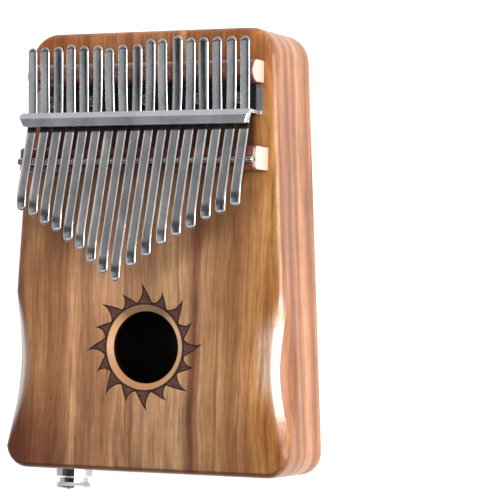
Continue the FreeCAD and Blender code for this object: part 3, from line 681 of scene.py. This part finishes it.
def sun_grids():
    """The engraving as grids of points: one round ring, then one grid for each flame."""
    radii = [SUN_INNER_R + (FLAME_ROOT_R - SUN_INNER_R) * k / RING_ROWS for k in range(RING_ROWS + 1)]
    turns = [a * RING_STEP_DEG for a in range(round(360 / RING_STEP_DEG) + 1)]
    grids = [[[polar(r, turn) for turn in turns] for r in radii]]
    centre = Vector((0, HOLE_Y, 0))
    for k in range(FLAME_COUNT):
        left, right = flame_sides(k)
        rows = []
        for j in range(FLAME_ROWS + 1):
            row = []
            for c in range(FLAME_COLUMNS + 1):
                root = left[0].lerp(right[0], c / FLAME_COLUMNS) - centre
                bulge = root.normalized() * (FLAME_ROOT_R - root.length) * (1 - j / FLAME_ROWS) ** 2
                row.append(left[j].lerp(right[j], c / FLAME_COLUMNS) + bulge)
            rows.append(row)
        grids.append(rows)
    return grids


def sun_outline():
    """The lines that are darkest, partly from the burn and partly as painted shade of the recess walls, as pairs
    of points.
    """
    lines = []
    for k in range(FLAME_COUNT):
        left, right = flame_sides(k)
        following = flame_sides((k + 1) % FLAME_COUNT)[0][0]
        for run in (left, right, [right[0], following]):
            lines += list(zip(run, run[1:]))
    inner = [polar(SUN_INNER_R, a) for a in range(0, 365, 5)]
    return lines + list(zip(inner, inner[1:]))


def gap_to(point, a, b):
    """Distance from a point to the line from a to b."""
    along = b - a
    part = max(0.0, min(1.0, (point - a).dot(along) / along.length_squared))
    return (point - a - along * part).length


def engraved_sun():
    """A thin burnt skin lying in the engraved recess round the sound hole."""
    outline = sun_outline()
    build = bmesh.new()
    mark = build.verts.layers.float.new("edge")
    for rows in sun_grids():
        layers = []
        for z in (SUN_TOP_Z, SUN_LOW_Z):
            made = [[build.verts.new((p.x, p.y, z)) for p in row] for row in rows]
            layers.append(made)
            for row, placed in zip(rows, made):
                for p, vertex in zip(row, placed):
                    # the edge mark carries the burn and the painted shade of the recess walls
                    gap = min(gap_to(p, a, b) for a, b in outline)
                    vertex[mark] = max(0.0, 1.0 - gap / SUN_LINE_WIDTH)
        for made, flip in ((layers[0], False), (layers[1], True)):
            for low, high in zip(made, made[1:]):
                for k in range(len(low) - 1):
                    corners = (low[k], low[k + 1], high[k + 1], high[k])
                    build.faces.new(reversed(corners) if flip else corners)
        rim = [[m[0] for m in made] for made in layers], [[m[-1] for m in made] for made in layers]
        for top, low in rim + ([made[0] for made in layers], [made[-1] for made in layers]):
            for k in range(len(top) - 1):
                build.faces.new((top[k], top[k + 1], low[k + 1], low[k]))
    bmesh.ops.remove_doubles(build, verts=build.verts, dist=1e-6)
    bmesh.ops.recalc_face_normals(build, faces=build.faces)
    mesh = bpy.data.meshes.new("engraved_sun")
    build.to_mesh(mesh)
    build.free()
    mesh.materials.append(MATERIALS["burnt"])
    piece = bpy.data.objects.new("engraved_sun", mesh)
    bpy.context.scene.collection.objects.link(piece)
    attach(piece, ROOT_BODY)


# ================================================================ camera, stage and light
CAMERA_PLACE = (0.46906, -0.02855, 0.93487)
CAMERA_TURN_DEG = (("Y", 25.10), ("X", 1.684), ("Z", 1.071))
CAMERA_LENS_MM = 174.7

# name, direction, distance, (width, height), power, colour, whether metal and lacquer mirror it
LIGHTS = [
    ("key_right", (0.87, 0.0, 0.49), 1.4, (0.80, 1.2), 34.0, (1.0, 0.98, 0.96), True),
    ("fill_left", (-0.75, -0.1, 0.66), 1.5, (0.8, 1.2), 9.0, (0.96, 0.98, 1.0), False),
    ("top_soft", (0.1, 0.25, 0.96), 1.8, (1.2, 1.2), 12.0, (1.0, 1.0, 1.0), False),
    ("low_right", (0.97, -0.1, 0.22), 1.4, (0.5, 1.2), 0.5, (1.0, 0.96, 0.92), False),
]

# Brightness of the studio from left (0) to right (1): in general, and behind the top end.
WORLD_ACROSS = [(0.0, 0.60), (0.15, 0.60), (0.20, 0.62), (0.23, 0.55), (0.255, 0.44), (0.275, 0.34),
                (0.295, 0.20), (0.315, 0.06), (0.35, 0.02), (0.38, 0.05), (0.42, 0.50), (0.475, 0.90),
                (1.0, 0.95)]
WORLD_BEHIND = [(0.0, 0.95), (0.14, 0.95), (0.20, 0.36), (0.35, 0.32), (0.39, 0.12), (0.43, 0.45),
                (0.48, 0.95), (1.0, 0.95)]
ACROSS_TINT = (1.01, 1.0, 0.98)
BEHIND_TINT = (1.03, 0.98, 0.95)

# Parts of the studio by direction, each over those before it: soft ramps, straight ramps and colour.
# A ramp is an axis, where it starts and where it is full. None stands for the tones of WORLD_BEHIND.
LEFT_OF_TIPS = [("x", -0.15, -0.22), ("x", -0.66, -0.58)]
STUDIO = [
    ([("y", 0.06, 0.11), ("y", 0.30, 0.20)], [], (0.10, 0.10, 0.105)),
    ([("y", 0.20, 0.30)], [], None),
    ([("y", 0.62, 0.76)], [], (0.85, 0.85, 0.87)),
    (LEFT_OF_TIPS + [("y", -0.025, -0.045)], [], (0.08, 0.08, 0.085)),
    (LEFT_OF_TIPS + [("y", -0.080, -0.105)], [], (0.95, 0.95, 0.95)),
    ([("x", -0.24, -0.16), ("x", 0.68, 0.60), ("z", 0.60, 0.70)],
     [("y", -0.012, -0.026), ("y", -0.150, -0.130)], (0.03, 0.03, 0.03)),
    ([("z", 0.40, 0.12)], [], (0.80, 0.80, 0.80)),
    ([("y", -0.36, -0.52)], [], (0.22, 0.22, 0.22)),
]


def make_camera():
    data = bpy.data.cameras.new("camera")
    data.sensor_width = 36.0
    data.lens = CAMERA_LENS_MM
    data.clip_end = 20.0
    camera = bpy.data.objects.new("camera", data)
    bpy.context.scene.collection.objects.link(camera)
    camera.matrix_world = Matrix.Translation(CAMERA_PLACE)
    for axis, degrees in CAMERA_TURN_DEG:
        camera.matrix_world = camera.matrix_world @ Matrix.Rotation(math.radians(degrees), 4, axis)
    bpy.context.scene.camera = camera


def make_light(name, direction, distance, size, power, colour, glossy):
    data = bpy.data.lights.new(name, "AREA")
    data.shape = "RECTANGLE"
    data.size, data.size_y = size
    data.energy = power
    data.color = colour
    light = bpy.data.objects.new(name, data)
    bpy.context.scene.collection.objects.link(light)
    where = Vector(direction).normalized()
    light.location = Vector((0, 0, FACE_Z)) + where * distance
    light.rotation_euler = where.to_track_quat("Z", "Y").to_euler()
    light.visible_glossy = glossy


def make_stage():
    s = Shader("pale_floor")
    s.set(Base_Color=(0.92, 0.92, 0.92), Roughness=0.9, Emission_Color=(1, 1, 1), Emission_Strength=0.28)
    floor = mesh_object("floor", [(-3, -3, 0), (3, -3, 0), (3, 3, 0), (-3, 3, 0)], [(0, 1, 2, 3)],
                        s.material, smooth=False)
    floor.location.z = -0.3 * MM


def make_world():
    world = bpy.data.worlds.new("studio")
    world.use_nodes = True
    n = Nodes(world.node_tree, "Generated")
    axes = dict(zip("xyz", n.axes()))
    across = n.remap(axes["x"], -1.0, 1.0)

    def tones(stops, tint):
        return n.ramp(across, [(place, [v * t for t in tint]) for place, v in stops])

    colour, behind = tones(WORLD_ACROSS, ACROSS_TINT), tones(WORLD_BEHIND, BEHIND_TINT)
    for soft, straight, tone in STUDIO:
        mask = 1.0
        for ramps, smooth in ((soft, True), (straight, False)):
            for axis, start, full in ramps:
                mask = n.both(mask, n.remap(axes[axis], start, full, smooth=smooth))
        colour = n.mix(mask, colour, behind if tone is None else tone)
    background = n.tree.nodes["Background"]
    n.feed(background.inputs["Color"], colour)
    background.inputs["Strength"].default_value = 1.0
    bpy.context.scene.world = world


def main():
    make_camera()
    bpy.context.scene.view_settings.view_transform = "Standard"
    dress_cad_nodes()
    rng = random.Random(SEED)
    for number in range(1, TINE_COUNT + 1):
        tine(number, rng)
    engraved_sun()
    make_stage()
    make_world()
    for light in LIGHTS:
        make_light(*light)


main()
